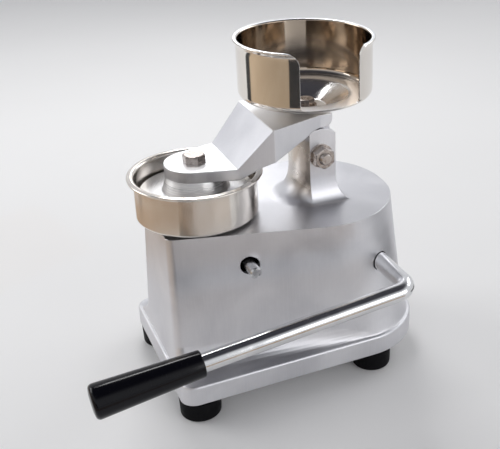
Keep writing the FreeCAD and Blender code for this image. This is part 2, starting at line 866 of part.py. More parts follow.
def arm_side():
    """Side view of the arm, as a solid across the machine."""
    across, up = value("pivot_across"), value("pivot_up")
    arc = value("arm_arc_radius")
    nose = value("mould_axis") - value("tab_radius")
    knee = value("arm_lower_knee")
    ahead = 14.0
    meet = (across - ahead, up + math.sqrt(arc ** 2 - ahead ** 2))
    rear = value("arm_rear")
    half = value("arm_half_width") + 5
    profile = prism([
        (nose - 1, value("tab_bottom")), (knee + 2, value("tab_bottom")),
        (knee + 19, value("tab_bottom") + 9), meet, (across, up), (rear, up),
        (rear, value("arm_top")), (value("arm_upper_knee"), value("arm_top")),
        (knee, value("tab_top")), (nose - 1, value("tab_top")),
    ], -half, half)
    solid = profile.cut(x_cylinder(arc, -half, half, across, up))
    low_corner = up + math.sqrt(arc ** 2 - (rear - across) ** 2)
    rounded = [edge for edge in solid.Edges if edge.BoundBox.XLength > half
               and abs(edge.CenterOfMass.y - rear) < 0.01
               and edge.CenterOfMass.z < low_corner + 0.5]
    return solid.makeFillet(value("arm_rear_rounding"), rounded)


def arm_plan():
    """Plan view of the arm, as an upright solid."""
    axis, radius = value("mould_axis"), value("tab_radius")
    knee, wide = value("arm_upper_knee") + 1, value("arm_half_width")
    narrow, rear = value("column_half_width"), value("arm_rear")
    reach = knee - axis
    away = math.hypot(reach, wide)
    facing = math.atan2(reach, wide) - math.acos(radius / away)
    touch = Vector(radius * math.cos(facing), axis + radius * math.sin(facing), 0)
    waist = Vector(narrow, value("pivot_across"), 0)
    half = [touch, Vector(wide, knee, 0), waist, Vector(narrow, rear, 0)]
    other = [Vector(-point.x, point.y, 0) for point in reversed(half)]
    edges = [Part.LineSegment(start, end).toShape()
             for start, end in zip(half + other[:-1], half[1:] + other)]
    edges.append(Part.Arc(other[-1], Vector(0, axis - radius, 0), half[0]).toShape())
    outline = Part.Face(Part.Wire(edges))
    outline.translate(Vector(0, 0, value("tab_bottom") - 5))
    solid = outline.extrude(Vector(0, 0, value("arm_top") - value("tab_bottom") + 10))
    creases = [edge for edge in solid.Edges if edge.BoundBox.ZLength > 20
               and abs(edge.CenterOfMass.y - knee) < 0.5]
    return solid.makeFillet(2.0, creases)


def make_press_arm():
    across, up = value("pivot_across"), value("pivot_up")
    half = value("tongue_half_width")
    boss = value("tongue_boss_radius")
    body = arm_side().common(arm_plan())
    tongue = prism([(across - boss, up), (across + boss, up), (across + 14.5, up + 8),
                    (across + 11.5, up + 27), (across - boss, up + 27)], -half, half)
    tongue = tongue.fuse(x_cylinder(boss, -half, half, across, up))
    body = body.fuse(tongue)
    slot = value("link_half_thick") + 0.6
    relief = prism([(across - 2, up - 20), (across + 30, up - 20), (across + 30, up + 17.2),
                    (across - 2, up + 17.2)], -slot, slot)
    eye_across, eye_up = polar(value("crank_throw"), value("crank_angle"))
    pin = x_cylinder(value("link_pin_radius"), -half, half, across + eye_across, up + eye_up)
    bolt = x_cylinder(value("bolt_radius") + value("running_gap"), -half, half, across, up)
    mould_hole = Part.makeCylinder(value("bolt_radius"), 20, Vector(0, value("mould_axis"), up - 8))
    paper_hole = Part.makeCylinder(4.0, 8, Vector(0, value("paper_axis"), value("arm_top") - 8))
    body = body.cut([relief, pin, bolt, mould_hole, paper_hole]).removeSplitter()
    return plain_part("press_arm", body)


def side_hexagon(body, low, high, radius, across, up):
    sketch = sketch_on(body, "YZ_Plane", low)
    corners = []
    for corner in range(6):
        aside, above = polar(radius, 60.0 * corner + 90.0)
        corners.append((across + aside, up + above))
    add_polygon(sketch, corners)
    return pad(body, sketch, high - low)


def side_pin(body, low, high, across, up, radius):
    sketch = sketch_on(body, "YZ_Plane", low)
    add_circle(sketch, across, up, radius)
    return pad(body, sketch, high - low)


def make_pivot_bolt():
    body = new_body("pivot_bolt")
    axis = size("pivot_across"), size("pivot_up")
    seat = size("column_half_width") + size("washer_thickness")
    side_pin(body, -seat, seat + 11.0, *axis, size("bolt_radius"))
    side_hexagon(body, -seat - size("hex_height"), -seat, size("hex_radius"), *axis)
    return body


def make_pivot_nut():
    body = new_body("pivot_nut")
    axis = size("pivot_across"), size("pivot_up")
    seat = size("column_half_width") + size("washer_thickness")
    side_hexagon(body, seat, seat + 8.0, size("hex_radius"), *axis)
    cross_bore(body, seat, seat + 8.0, *axis, size("bolt_radius"))
    return body


def ring_pair(name, low, high, inner, outer, axis):
    """Two equal rings on one cross axis, one at each side of the middle plane."""
    rings = []
    for begin, end in ((low, high), (-high, -low)):
        ring = x_cylinder(outer, begin, end, *axis)
        rings.append(ring.cut(x_cylinder(inner, begin, end, *axis)))
    return plain_part(name, Part.Compound(rings))


def make_pivot_rings():
    axis = value("pivot_across"), value("pivot_up")
    face = value("column_half_width")
    ring_pair("pivot_washers", face, face + value("washer_thickness"), value("bolt_radius"),
              value("washer_radius"), axis)
    ring_pair("pivot_thrust_washers", value("tongue_half_width") + 0.05, value("column_gap_half"),
              value("bolt_radius") + value("running_gap"), 9.5, axis)


# --- handle and linkage -----------------------------------------------------------------------

def lean_with_handle(body, across=0.0, turn=0.0):
    """Puts a piece's zero on the shaft's axis, turned about X to follow the handle's slope."""
    angle = size("handle_slope") + turn
    body.Placement = Placement(Vector(0, 0, 0), Rotation(Vector(1, 0, 0), angle.amount))
    settle(body, across, size("shaft_across"), size("shaft_up"))
    bind(body, "Placement.Rotation.Angle", angle)


def make_handle_rod():
    body = new_body("handle_rod")
    side, length, bend = size("rod_side"), size("rod_length"), size("bend_radius")
    shoulder = size("journal_shoulder")
    path = sketch_on(body, "XY_Plane")
    corner = Vector(amount_of(side - bend), -amount_of(bend), 0)
    straight = path.addGeometry(
        Part.LineSegment(Vector(amount_of(shoulder), 0, 0), Vector(corner.x, 0, 0)))
    turn = path.addGeometry(Part.ArcOfCircle(
        Part.Circle(corner, Vector(0, 0, 1), amount_of(bend)), 0, math.pi / 2))
    forward = path.addGeometry(Part.LineSegment(
        Vector(amount_of(side), corner.y, 0), Vector(amount_of(side), -amount_of(length), 0)))
    path.addConstraint(Sketcher.Constraint("Tangent", straight, 2, turn, 2))
    path.addConstraint(Sketcher.Constraint("Tangent", turn, 1, forward, 1))
    fix_point(path, straight, 1, shoulder, 0.0)
    path.addConstraint(Sketcher.Constraint("Horizontal", straight))
    path.addConstraint(Sketcher.Constraint("Vertical", forward))
    dimension(path, Sketcher.Constraint("Radius", turn, amount_of(bend)), bend)
    fix_point(path, forward, 2, side, -length)
    profile = sketch_on(body, "YZ_Plane", shoulder)
    add_circle(profile, 0.0, 0.0, size("rod_radius"))
    pipe = body.newObject("PartDesign::AdditivePipe", "handle_rod_pipe")
    pipe.Profile = profile
    pipe.Spine = (path, ["Edge1", "Edge2", "Edge3"])
    body.Tip = pipe
    end = size("bearing_far_depth") - 0.5
    side_pin(body, -end, shoulder, 0.0, 0.0, size("journal_radius"))
    lean_with_handle(body)
    return body


def make_handle_grip():
    body = new_body("handle_grip")
    start, end = size("grip_start"), size("grip_end")
    rear, front, bore = size("grip_rear_radius"), size("grip_front_radius"), size("rod_radius")
    crown = [(0.0, end), (front - 6, end), (front - 3, end - 0.8), (front - 1, end - 2.4),
             (front, end - 5)]
    revolve(body, [
        (bore, size("rod_length")), (bore, start), (rear - 1, start), (rear, start + 1)]
        + list(reversed(crown)) + [(0.0, size("rod_length"))])
    lean_with_handle(body, size("rod_side"), 90.0)
    return body


def make_bush(name, low, high, inner, outer):
    body = new_body(name)
    sketch = sketch_on(body, "YZ_Plane", low)
    for radius in (inner, outer):
        add_circle(sketch, size("shaft_across"), size("shaft_up"), radius)
    pad(body, sketch, high - low)
    return body


def shaft_point(radius_name, angle_name, centre):
    """Point at a crank's radius and angle from a centre given as (y, z) sizes."""
    across, up = polar(size(radius_name), value(angle_name))
    return centre[0] + across, centre[1] + up


def make_shaft_crank():
    body = new_body("shaft_crank")
    centre = size("shaft_across"), size("shaft_up")
    upper = shaft_point("crank_throw", "crank_angle", centre)
    lower = shaft_point("ejector_throw", "ejector_angle", centre)
    hub = size("crank_hub_radius")
    fork_inner, fork_outer = size("crank_fork_inner"), size("crank_fork_outer")
    outer, inner, arm = size("side_arm_outer"), size("side_arm_inner"), size("side_arm_radius")
    eye = size("ejector_eye_radius")
    slab(body, outer, -fork_inner, lambda sketch: add_circle(sketch, *centre, hub))
    slab(body, outer, inner, lambda sketch: add_bar(sketch, centre, hub, lower, arm))
    slab(body, -fork_outer, -fork_inner, lambda sketch: add_bar(sketch, centre, hub, upper, eye))
    web = [(centre[0] - 9.0, centre[1] - 2.0), (centre[0] - 6.0, centre[1] - 9.2),
           (centre[0] + 6.0, centre[1] - 9.2), (centre[0] + 9.0, centre[1] - 2.0)]
    slab(body, -fork_inner, fork_inner, lambda sketch: add_polygon(sketch, web))
    slab(body, fork_inner, fork_outer, lambda sketch: add_bar(sketch, centre, hub, upper, eye))
    slab(body, fork_inner, size("journal_shoulder"), lambda sketch: add_circle(sketch, *centre, hub))
    cross_bore(body, outer - 1, size("journal_shoulder"), *centre, size("journal_radius"))
    cross_bore(body, -fork_outer, fork_outer, *upper, size("link_pin_radius"))
    cross_bore(body, outer, inner, *lower, size("ejector_pin_radius"))
    screw = sketch_on(body, "XZ_Plane", -centre[0])
    add_circle(screw, size("crank_screw_across"), centre[1], size("crank_screw_radius"))
    pocket(body, screw, hub + 1)
    return body


def make_crank_screw():
    """Set screw that holds the crank on the shaft."""
    body = new_body("crank_screw")
    centre = size("shaft_across"), size("shaft_up")
    start = size("journal_radius")
    length, socket_depth, socket_radius = 5.4, 2.0, 1.25
    sketch = sketch_on(body, "XZ_Plane", start - centre[0])
    add_circle(sketch, size("crank_screw_across"), centre[1], size("crank_screw_radius"))
    pad(body, sketch, length)
    recess = sketch_on(body, "XZ_Plane", start - centre[0] + (length - socket_depth))
    add_circle(recess, size("crank_screw_across"), centre[1], socket_radius)
    pocket(body, recess, socket_depth + 1)
    return body


def make_cross_pin(name, low, high, point, radius, head=None):
    body = new_body(name)
    side_pin(body, low, high, *point, radius)
    if head:
        side_pin(body, head[0], head[1], *point, head[2])
    return body


def make_pull_link():
    """Dog-legged flat link from the crank up to the arm; it rises inside the column's rear."""
    body = new_body("pull_link")
    shaft = size("shaft_across"), size("shaft_up")
    pivot = size("pivot_across"), size("pivot_up")
    lower = shaft_point("crank_throw", "crank_angle", shaft)
    upper = shaft_point("crank_throw", "crank_angle", pivot)
    half, width, eye = size("link_half_thick"), size("link_half_width"), size("link_eye_radius")
    behind_column = 46.5
    knees = [(67.0, 128.0), (50.5, 136.0), (behind_column, 150.0), (behind_column, 184.0)]
    points = [lower] + knees + [upper]
    radii = [eye] + [width] * len(knees) + [eye]
    for index in range(len(points) - 1):
        slab(body, -half, half, lambda sketch, at=index: add_bar(
            sketch, points[at], radii[at], points[at + 1], radii[at + 1]))
    cross_bore(body, -half, half, *lower, size("link_pin_radius") + size("running_gap"))
    cross_bore(body, -half, half, *upper, size("link_pin_radius") + size("open_pivot_gap"))
    return body


def make_ejector_link():
    body = new_body("ejector_link")
    rear = shaft_point("ejector_throw", "ejector_angle", (size("shaft_across"), size("shaft_up")))
    front = shaft_point("ejector_throw", "ejector_angle", (size("lever_across"), size("lever_up")))
    low, high, eye = size("ejector_link_outer"), size("ejector_link_inner"), size("ejector_eye_radius")
    slab(body, low, high, lambda sketch: add_bar(sketch, rear, eye, front, eye))
    cross_bore(body, low, high, *rear, size("ejector_pin_radius") + size("running_gap"))
    cross_bore(body, low, high, *front, size("ejector_pin_radius") + size("open_pivot_gap"))
    return body


def make_ejector_lever():
    """Two-armed lever: a forward nose under the ejector rod and a hanging arm for the link."""
    body = new_body("ejector_lever")
    centre = size("lever_across"), size("lever_up")
    nose = shaft_point("nose_reach", "nose_angle", centre)
    hanging = shaft_point("ejector_throw", "ejector_angle", centre)
    knee = shaft_point("knee_reach", "knee_angle", centre)
    hub, side, finger_half = size("lever_hub_radius"), size("lug_inner") - 0.5, 5.0
    bend = size("knee_radius")
    outer, inner, arm = size("side_arm_outer"), size("side_arm_inner"), size("side_arm_radius")
    slab(body, -side, side, lambda sketch: add_circle(sketch, *centre, hub))
    slab(body, -finger_half, finger_half, lambda sketch: add_bar(sketch, centre, hub, knee, bend))
    slab(body, -finger_half, finger_half,
         lambda sketch: add_bar(sketch, knee, bend, nose, size("nose_radius")))
    slab(body, outer, inner, lambda sketch: add_bar(sketch, centre, hub, hanging, arm))
    cross_bore(body, -side, side, *centre, size("lever_pin_radius") + size("running_gap"))
    cross_bore(body, outer, inner, *hanging, size("ejector_pin_radius"))
    return body


def make_lever_pin():
    """Cross pin of the ejector lever; its end stands out of the side wall and has a spanner hole."""
    body = new_body("lever_pin")
    radius, low, high = size("lever_pin_radius"), -size("lug_outer") - 4.0, size("lever_pin_end")
    revolve(body, [(0.0, low), (radius - 0.6, low), (radius, low + 0.6), (radius, high - 1.0),
                   (radius - 1.0, high), (0.0, high)])
    hole_depth, hole_radius, hole_below, hole_behind = 3.0, 1.1, 1.6, 2.4
    hole = sketch_on(body, "XY_Plane", high - hole_depth)
    add_circle(hole, hole_below, hole_behind, hole_radius)
    pocket(body, hole, hole_depth)
    body.Placement = Placement(Vector(0, 0, 0), Rotation(Vector(0, 1, 0), 90))
    settle(body, 0.0, size("lever_across"), size("lever_up"))
    return body


def make_ring(name, low, high, point, inner, outer):
    body = new_body(name)
    sketch = sketch_on(body, "YZ_Plane", low)
    for radius in (inner, outer):
        add_circle(sketch, *point, radius)
    pad(body, sketch, high - low)
    return body


def make_linkage():
    shaft = size("shaft_across"), size("shaft_up")
    lever = size("lever_across"), size("lever_up")
    pivot = size("pivot_across"), size("pivot_up")
    pin = size("link_pin_radius")
    make_shaft_crank()
    make_crank_screw()
    make_pull_link()
    make_ejector_link()
    make_ejector_lever()
    make_lever_pin()
    clip_thickness, clip_radius = 1.2, 8.0
    make_ring("lever_pin_clip", -size("lug_outer") - clip_thickness, -size("lug_outer"), lever,
              size("lever_pin_radius"), clip_radius)
    fork, arm_pin_half = size("crank_fork_outer"), 13.0
    make_cross_pin("crank_pin", -fork, fork, shaft_point("crank_throw", "crank_angle", shaft), pin)
    make_cross_pin("arm_pin", -arm_pin_half, arm_pin_half,
                   shaft_point("crank_throw", "crank_angle", pivot), pin)
    pin, seat, face = size("ejector_pin_radius"), size("side_arm_inner"), size("ejector_link_outer")
    head_height, head_radius, small_clip_radius = 1.8, 5.0, 5.2
    for name, centre in (("rear_link", shaft), ("front_link", lever)):
        point = shaft_point("ejector_throw", "ejector_angle", centre)
        make_cross_pin(f"{name}_pin", face - 2, seat, point, pin, (seat, seat + head_height, head_radius))
        make_ring(f"{name}_clip", face - 1.4, face - 0.4, point, pin, small_clip_radius)


def make_everything():
    mould, paper = size("mould_axis"), size("paper_axis")
    make_housing()
    make_bottom_plate()
    make_feet()
    make_foot_screws()
    make_mould_bowl()
    make_bowl_spacer()
    make_guide_bush()
    make_guide_nut()
    make_ejector_disc()
    make_ejector_rod()
    make_disc_screw()
    make_press_arm()
    make_press_plate()
    make_upright_bolt("press_plate_bolt", size("tab_top"), size("tab_top") - size("plate_bottom") - 4,
                      size("bolt_radius"), size("hex_radius"), size("hex_height"), mould)
    make_paper_bowl()
    seat = size("arm_top") + size("sheet")
    washer_height, washer_hole, washer_radius = 1.5, 4.2, 9.5
    make_washer("paper_bowl_washer", seat, washer_hole, washer_radius, washer_height, paper)
    length, small_hex_radius, small_hex_height = 10.0, 7.5, 5.3
    make_upright_bolt("paper_bowl_bolt", seat + washer_height, length, size("bolt_radius") - 1,
                      small_hex_radius, small_hex_height, paper)
    make_pivot_bolt()
    make_pivot_nut()
    make_pivot_rings()
    make_handle_rod()
    make_handle_grip()
    near, far = size("bearing_near_inner"), size("bearing_far_depth")
    make_bush("near_shaft_bush", near, size("bearing_near_outer"),
              size("rod_radius") + size("running_gap"), size("rod_radius") + 2)
    make_bush("far_shaft_bush", -far, -near, size("journal_radius") + size("running_gap"),
              size("journal_radius") + 2)
    make_linkage()


def is_sub_part(thing):
    if thing.TypeId == "PartDesign::Body":
        return True
    return thing.TypeId == "Part::Feature"


def write_parts():
    document.recompute()
    for thing in document.Objects:
        if "Invalid" in thing.State or "Error" in thing.State:
            raise RuntimeError(f"{thing.Name} is {thing.State}")
    whole = FreeCAD.BoundBox()
    for thing in filter(is_sub_part, document.Objects):
        whole.add(thing.Shape.optimalBoundingBox(False, False))
    print("middle", round(whole.Center.x, 3), round(whole.Center.y, 3), "lowest", round(whole.ZMin, 3))
    if max(abs(whole.Center.x), abs(whole.Center.y), abs(whole.ZMin)) > 0.1:
        raise RuntimeError("the machine's box is not centred over the origin")
    os.makedirs("parts", exist_ok=True)
    for thing in filter(is_sub_part, document.Objects):
        shape = thing.Shape
        if shape.isNull() or not shape.isValid():
            raise RuntimeError(f"{thing.Label} has no valid shape")
        shape.exportStep(os.path.join("parts", f"{thing.Label}.step"))
        print(thing.Label, len(shape.Solids), round(shape.Volume / 1000, 2), "cm3")


make_everything()
write_parts()
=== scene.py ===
import json
import math

import bmesh
import bpy
from mathutils import Matrix, Vector


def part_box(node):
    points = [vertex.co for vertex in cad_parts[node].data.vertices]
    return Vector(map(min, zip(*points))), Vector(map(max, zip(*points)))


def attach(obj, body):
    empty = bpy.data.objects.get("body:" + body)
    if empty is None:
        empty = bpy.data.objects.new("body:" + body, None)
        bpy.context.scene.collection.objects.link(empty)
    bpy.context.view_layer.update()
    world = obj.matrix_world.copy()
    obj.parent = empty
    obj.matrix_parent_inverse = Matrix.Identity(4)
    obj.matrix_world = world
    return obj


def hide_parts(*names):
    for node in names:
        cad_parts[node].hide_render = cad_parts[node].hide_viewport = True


# Looks of a hand-operated patty press.  Metres, +X to the handle's side, +Y to the rear, +Z up.

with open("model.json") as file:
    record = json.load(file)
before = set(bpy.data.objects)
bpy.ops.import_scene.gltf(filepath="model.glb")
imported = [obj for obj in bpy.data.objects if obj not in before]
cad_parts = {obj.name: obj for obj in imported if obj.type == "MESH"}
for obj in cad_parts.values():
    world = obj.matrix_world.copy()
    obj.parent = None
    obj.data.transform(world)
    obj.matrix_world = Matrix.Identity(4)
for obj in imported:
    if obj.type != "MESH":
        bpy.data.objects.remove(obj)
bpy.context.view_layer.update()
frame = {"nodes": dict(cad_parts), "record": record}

MM = 0.001
record = frame["record"]
slot_of = {row["node"]: row["material_slot"] for row in record["subparts"]}
behaviour = record["behaviour"]
body_of = {node: body for body, nodes in behaviour["bodies"].items() for node in nodes}
joint_at = {joint["name"]: Vector(joint.get("pos_m", (0, 0, 0))) for joint in behaviour["joints"]}


def centre_of(node):
    low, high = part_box(node)
    return (low + high) / 2


def deck_height():
    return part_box("bowl_spacer")[0].z


def rgb(red, green, blue):
    return (red, green, blue, 1.0)


# --- material building blocks -------------------------------------------------------------------

class Look:
    """A node material under construction; its methods add nodes and return their output sockets."""

    def __init__(self, name):
        self.material = bpy.data.materials.new(name)
        self.material.use_nodes = True
        self.nodes = self.material.node_tree.nodes
        self.links = self.material.node_tree.links
        self.surface = self.nodes["Principled BSDF"]
        self.place = self.nodes.new("ShaderNodeTexCoord").outputs["Object"]

    def add(self, kind, inputs=(), **settings):
        node = self.nodes.new(kind)
        for key, setting in settings.items():
            setattr(node, key, setting)
        for key, source in dict(inputs).items():
            self.feed(node.inputs[key], source)
        return node

    def feed(self, socket, source):
        if isinstance(source, bpy.types.NodeSocket):
            self.links.new(source, socket)
        else:
            socket.default_value = source

    def stretch(self, scale):
        """The object's coordinates in metres, times a scale per axis."""
        return self.add("ShaderNodeMapping", {"Vector": self.place, "Scale": scale}).outputs[0]

    def noise(self, scale, detail=3.0, stretch=None, distortion=0.0):
        place = self.stretch(stretch) if stretch else self.place
        inputs = {"Vector": place, "Scale": scale, "Detail": detail, "Distortion": distortion}
        return self.add("ShaderNodeTexNoise", inputs).outputs["Fac"]

    def ramp(self, amount, low, high, from_low=0.0, from_high=1.0):
        """Carries from_low..from_high of an amount smoothly onto low..high."""
        return self.add("ShaderNodeMapRange", {
            "Value": amount, "From Min": from_low, "From Max": from_high,
            "To Min": low, "To Max": high}, interpolation_type="SMOOTHSTEP").outputs[0]

    def combine(self, operation, first, second):
        return self.add("ShaderNodeMath", {0: first, 1: second}, operation=operation).outputs[0]

    def mix(self, share, first, second):
        node = self.add("ShaderNodeMix", data_type="RGBA")
        self.feed(node.inputs[0], share)
        self.feed(node.inputs[6], first)
        self.feed(node.inputs[7], second)
        return node.outputs[2]

    def bump(self, height, distance, normal=None, strength=1.0):
        inputs = {"Height": height, "Distance": distance, "Strength": strength}
        if normal is not None:
            inputs["Normal"] = normal
        return self.add("ShaderNodeBump", inputs).outputs[0]

    def worn_edges(self, radius):
        """1 on sharp edges and 0 on open faces, and the softened normal that finds them."""
        soft = self.add("ShaderNodeBevel", {"Radius": radius}, samples=4).outputs[0]
        likeness = self.add("ShaderNodeVectorMath", {0: soft, 1: self.facing()},
                            operation="DOT_PRODUCT")
        return self.ramp(likeness.outputs["Value"], 1.0, 0.0, 0.80, 0.995), soft

    def axes_of(self, vector):
        """The three components of a vector."""
        return self.add("ShaderNodeSeparateXYZ", {0: vector}).outputs

    def facing(self):
        return self.add("ShaderNodeNewGeometry").outputs["Normal"]

    def own_facing(self):
        """The face's direction as the object has it, wherever a joint has carried the object."""
        return self.add("ShaderNodeVectorTransform", {0: self.facing()}, vector_type="NORMAL",
                        convert_from="WORLD", convert_to="OBJECT").outputs[0]

    def round_axis(self):
        """The direction round an upright axis, along which turned metal is drawn."""
        return self.add("ShaderNodeTangent", direction_type="RADIAL", axis="Z").outputs[0]

    def distance_from(self, centre):
        """Distance from an upright axis through a point."""
        moved = self.add("ShaderNodeVectorMath", {0: self.place, 1: (-centre.x, -centre.y, 0)})
        x, y, _ = self.axes_of(moved.outputs[0])
        square = self.combine("ADD", self.combine("MULTIPLY", x, x), self.combine("MULTIPLY", y, y))
        return self.combine("SQRT", square, 0.0)

    def finish(self, **inputs):
        for key, source in inputs.items():
            self.feed(self.surface.inputs[key.replace("_", " ")], source)
        return self.material


def upward_share(look):
    """1 on level faces that look up, 0 on the others."""
    return look.ramp(look.axes_of(look.own_facing())[2], 0.0, 1.0, 0.80, 0.95)


def polished_front(look):
    """1 on the column's crowned front, above the deck, and 0 elsewhere."""
    _, along, height = look.axes_of(look.place)
    pivot = joint_at["arm_lift"]
    deck = deck_height()
    ahead = look.ramp(look.axes_of(look.facing())[1], 1.0, 0.0, -0.30, -0.12)
    above = look.ramp(height, 0.0, 1.0, deck + 5 * MM, deck + 17 * MM)
    behind_bowl = look.ramp(along, 0.0, 1.0, pivot.y - 44 * MM, pivot.y - 40 * MM)
    below_arm = look.ramp(height, 1.0, 0.0, pivot.z + 12 * MM, pivot.z + 16 * MM)
    return look.combine("MULTIPLY", look.combine("MULTIPLY", ahead, above),
                        look.combine("MULTIPLY", behind_bowl, below_arm))


def satin_casting(name="satin_casting", polish=False, painted_top_highlight=False):
    """Blasted and lightly brushed aluminium: fine grain, cloudy tone, rubbed edges.
    polish gives the column a polished front; painted_top_highlight paints a white highlight onto
    the level faces."""
    look = Look(name)
    edge, soft = look.worn_edges(0.7 * MM)
    cloud = look.noise(14, 4, distortion=0.6)
    grain = look.noise(2600, 2)
    skin = look.noise(240, 3)
    brushed = look.noise(1, 5, stretch=(900, 900, 34))
    tone = look.mix(look.ramp(cloud, 0, 1, 0.3, 0.72),
                    rgb(0.60, 0.60, 0.63), rgb(0.73, 0.73, 0.755))
    tone = look.mix(look.ramp(brushed, 0, 0.12, 0.35, 0.75), tone, rgb(0.83, 0.83, 0.85))
    tone = look.mix(look.ramp(grain, 0, 0.16, 0.52, 0.78), tone, rgb(0.40, 0.40, 0.43))
    tone = look.mix(edge, tone, rgb(0.90, 0.90, 0.91))
    # painted highlight: faces that look up are whitened to stand in for light falling on them from
    # above
    if painted_top_highlight:
        level = look.combine("MULTIPLY", upward_share(look), look.ramp(grain, 1.0, 0.88, 0.5, 0.8))
        tone = look.mix(level, tone, rgb(0.96, 0.96, 0.97))
    rough = look.combine("ADD", look.ramp(cloud, 0.36, 0.47, 0.3, 0.7),
                         look.ramp(brushed, -0.02, 0.02))
    rough = look.combine("SUBTRACT", rough, look.combine("MULTIPLY", edge, 0.14))
    relief = 1.0
    if polish:
        front = polished_front(look)
        relief = look.combine("SUBTRACT", 1.0, look.combine("MULTIPLY", front, 0.93))
        tone = look.mix(front, tone, rgb(0.66, 0.61, 0.56))
        shine = look.ramp(cloud, 0.24, 0.31, 0.3, 0.7)
        unpolished = look.combine("SUBTRACT", 1.0, front)
        rough = look.combine("ADD", look.combine("MULTIPLY", rough, unpolished),
                             look.combine("MULTIPLY", shine, front))
    normal = look.bump(skin, 0.045 * MM, soft, relief)
    normal = look.bump(brushed, 0.006 * MM, normal, relief)
    normal = look.bump(grain, 0.022 * MM, normal, relief)
    return look.finish(Base_Color=tone, Metallic=1.0, Roughness=rough, Normal=normal)


def inside_share(look, axis):
    """1 on faces that look towards an upright axis, 0 on the others."""
    moved = look.add("ShaderNodeVectorMath", {0: look.place, 1: (axis.x, axis.y, 0)},
                     operation="SUBTRACT").outputs[0]
    level = look.add("ShaderNodeVectorMath", {0: moved, 1: (1, 1, 0)},
                     operation="MULTIPLY").outputs[0]
    outward = look.add("ShaderNodeVectorMath", {0: level}, operation="NORMALIZE").outputs[0]
    likeness = look.add("ShaderNodeVectorMath", {0: outward, 1: look.own_facing()},
                        operation="DOT_PRODUCT")
    return look.ramp(likeness.outputs["Value"], 1.0, 0.0, -0.95, -0.65)


def mirror_steel(name="mirror_steel", gloss=(0.17, 0.24), inside_axis=None):
    """Spun and polished stainless sheet: faint rings round its axis, smears and fine flecks.
    gloss is its lowest and highest roughness; with inside_axis, the wall that faces that upright
    axis is browned with a painted reflection, and the level bottom is paler with a painted
    highlight and duller."""
    look = Look(name)
    edge, soft = look.worn_edges(0.25 * MM)
    smear = look.noise(30, 4, stretch=(1, 1, 0.5), distortion=0.8)
    spun = look.noise(1, 3, stretch=(6, 6, 4200))
    fleck = look.noise(900, 1)
    tone = look.mix(look.ramp(smear, 0, 1, 0.3, 0.75),
                    rgb(0.72, 0.675, 0.625), rgb(0.80, 0.765, 0.72))
    tone = look.mix(look.ramp(spun, 0, 0.25, 0.5, 0.8), tone, rgb(0.60, 0.56, 0.52))
    if inside_axis is not None:
        # painted reflection: the wall that faces the bowl's axis is browned to stand in for the
        # surroundings it mirrors
        tone = look.mix(inside_share(look, inside_axis), tone, rgb(0.50, 0.42, 0.34))
        # painted highlight: the level bottom is paled to stand in for the light it catches from
        # above
        level = upward_share(look)
        tone = look.mix(level, tone, rgb(0.93, 0.94, 0.96))
    tone = look.mix(edge, tone, rgb(0.86, 0.85, 0.84))
    rough = look.combine("ADD", look.ramp(smear, *gloss, 0.35, 0.75),
                         look.ramp(fleck, 0, 0.05, 0.66, 0.8))
    drawn = 0.90
    if inside_axis is not None:
        rough = look.combine("ADD", rough, look.combine("MULTIPLY", level, 0.20))
        drawn = look.combine("MULTIPLY", look.combine("SUBTRACT", 1.0, level), drawn)
    normal = look.bump(spun, 0.0006 * MM, soft)
    return look.finish(Base_Color=tone, Metallic=1.0, Roughness=rough, Normal=normal,
                       Anisotropic=drawn, Anisotropic_Rotation=0.25, Tangent=look.round_axis())


def turned_aluminium():
    """Lathe-turned aluminium: rings round the plate's axis, brighter on the ridges."""
    look = Look("turned_aluminium")
    rings_per_metre = 2600.0
    place = look.combine("MULTIPLY", look.distance_from(centre_of("press_plate")), rings_per_metre)
    rings = look.add("ShaderNodeTexNoise", {"W": place, "Scale": 1.0, "Detail": 3.0},
                     noise_dimensions="1D").outputs["Fac"]
    cloud = look.noise(40, 3)
    edge, soft = look.worn_edges(0.4 * MM)
    tone = look.mix(look.ramp(rings, 0, 1, 0.3, 0.7), rgb(0.68, 0.68, 0.69), rgb(0.86, 0.855, 0.85))
    tone = look.mix(look.ramp(cloud, 0, 0.4, 0.45, 0.75), tone, rgb(0.56, 0.55, 0.55))
    tone = look.mix(edge, tone, rgb(0.92, 0.92, 0.92))
    rough = look.ramp(rings, 0.27, 0.38, 0.3, 0.7)
    normal = look.bump(rings, 0.002 * MM, soft)
    return look.finish(Base_Color=tone, Metallic=1.0, Roughness=rough, Normal=normal,
                       Anisotropic=0.85, Anisotropic_Rotation=0.25, Tangent=look.round_axis())


def polished_rod():
    """Drawn and polished bar with fine lines along its length and light rub marks."""
    look = Look("polished_rod")
    lines = look.noise(1, 4, stretch=(1500, 60, 1500))
    smear = look.noise(46, 4, distortion=0.8)
    rub = look.noise(1, 2, stretch=(120, 700, 120))
    edge, soft = look.worn_edges(0.4 * MM)
    tone = look.mix(look.ramp(smear, 0, 1, 0.35, 0.7),
                    rgb(0.74, 0.745, 0.76), rgb(0.83, 0.83, 0.835))
    tone = look.mix(look.ramp(rub, 0, 0.3, 0.66, 0.8), tone, rgb(0.50, 0.50, 0.51))
    tone = look.mix(edge, tone, rgb(0.9, 0.9, 0.9))
    rough = look.combine("ADD", look.ramp(smear, 0.10, 0.19, 0.35, 0.7),
                         look.ramp(rub, 0, 0.12, 0.62, 0.8))
    normal = look.bump(lines, 0.006 * MM, soft)
    return look.finish(Base_Color=tone, Metallic=1.0, Roughness=rough, Normal=normal)


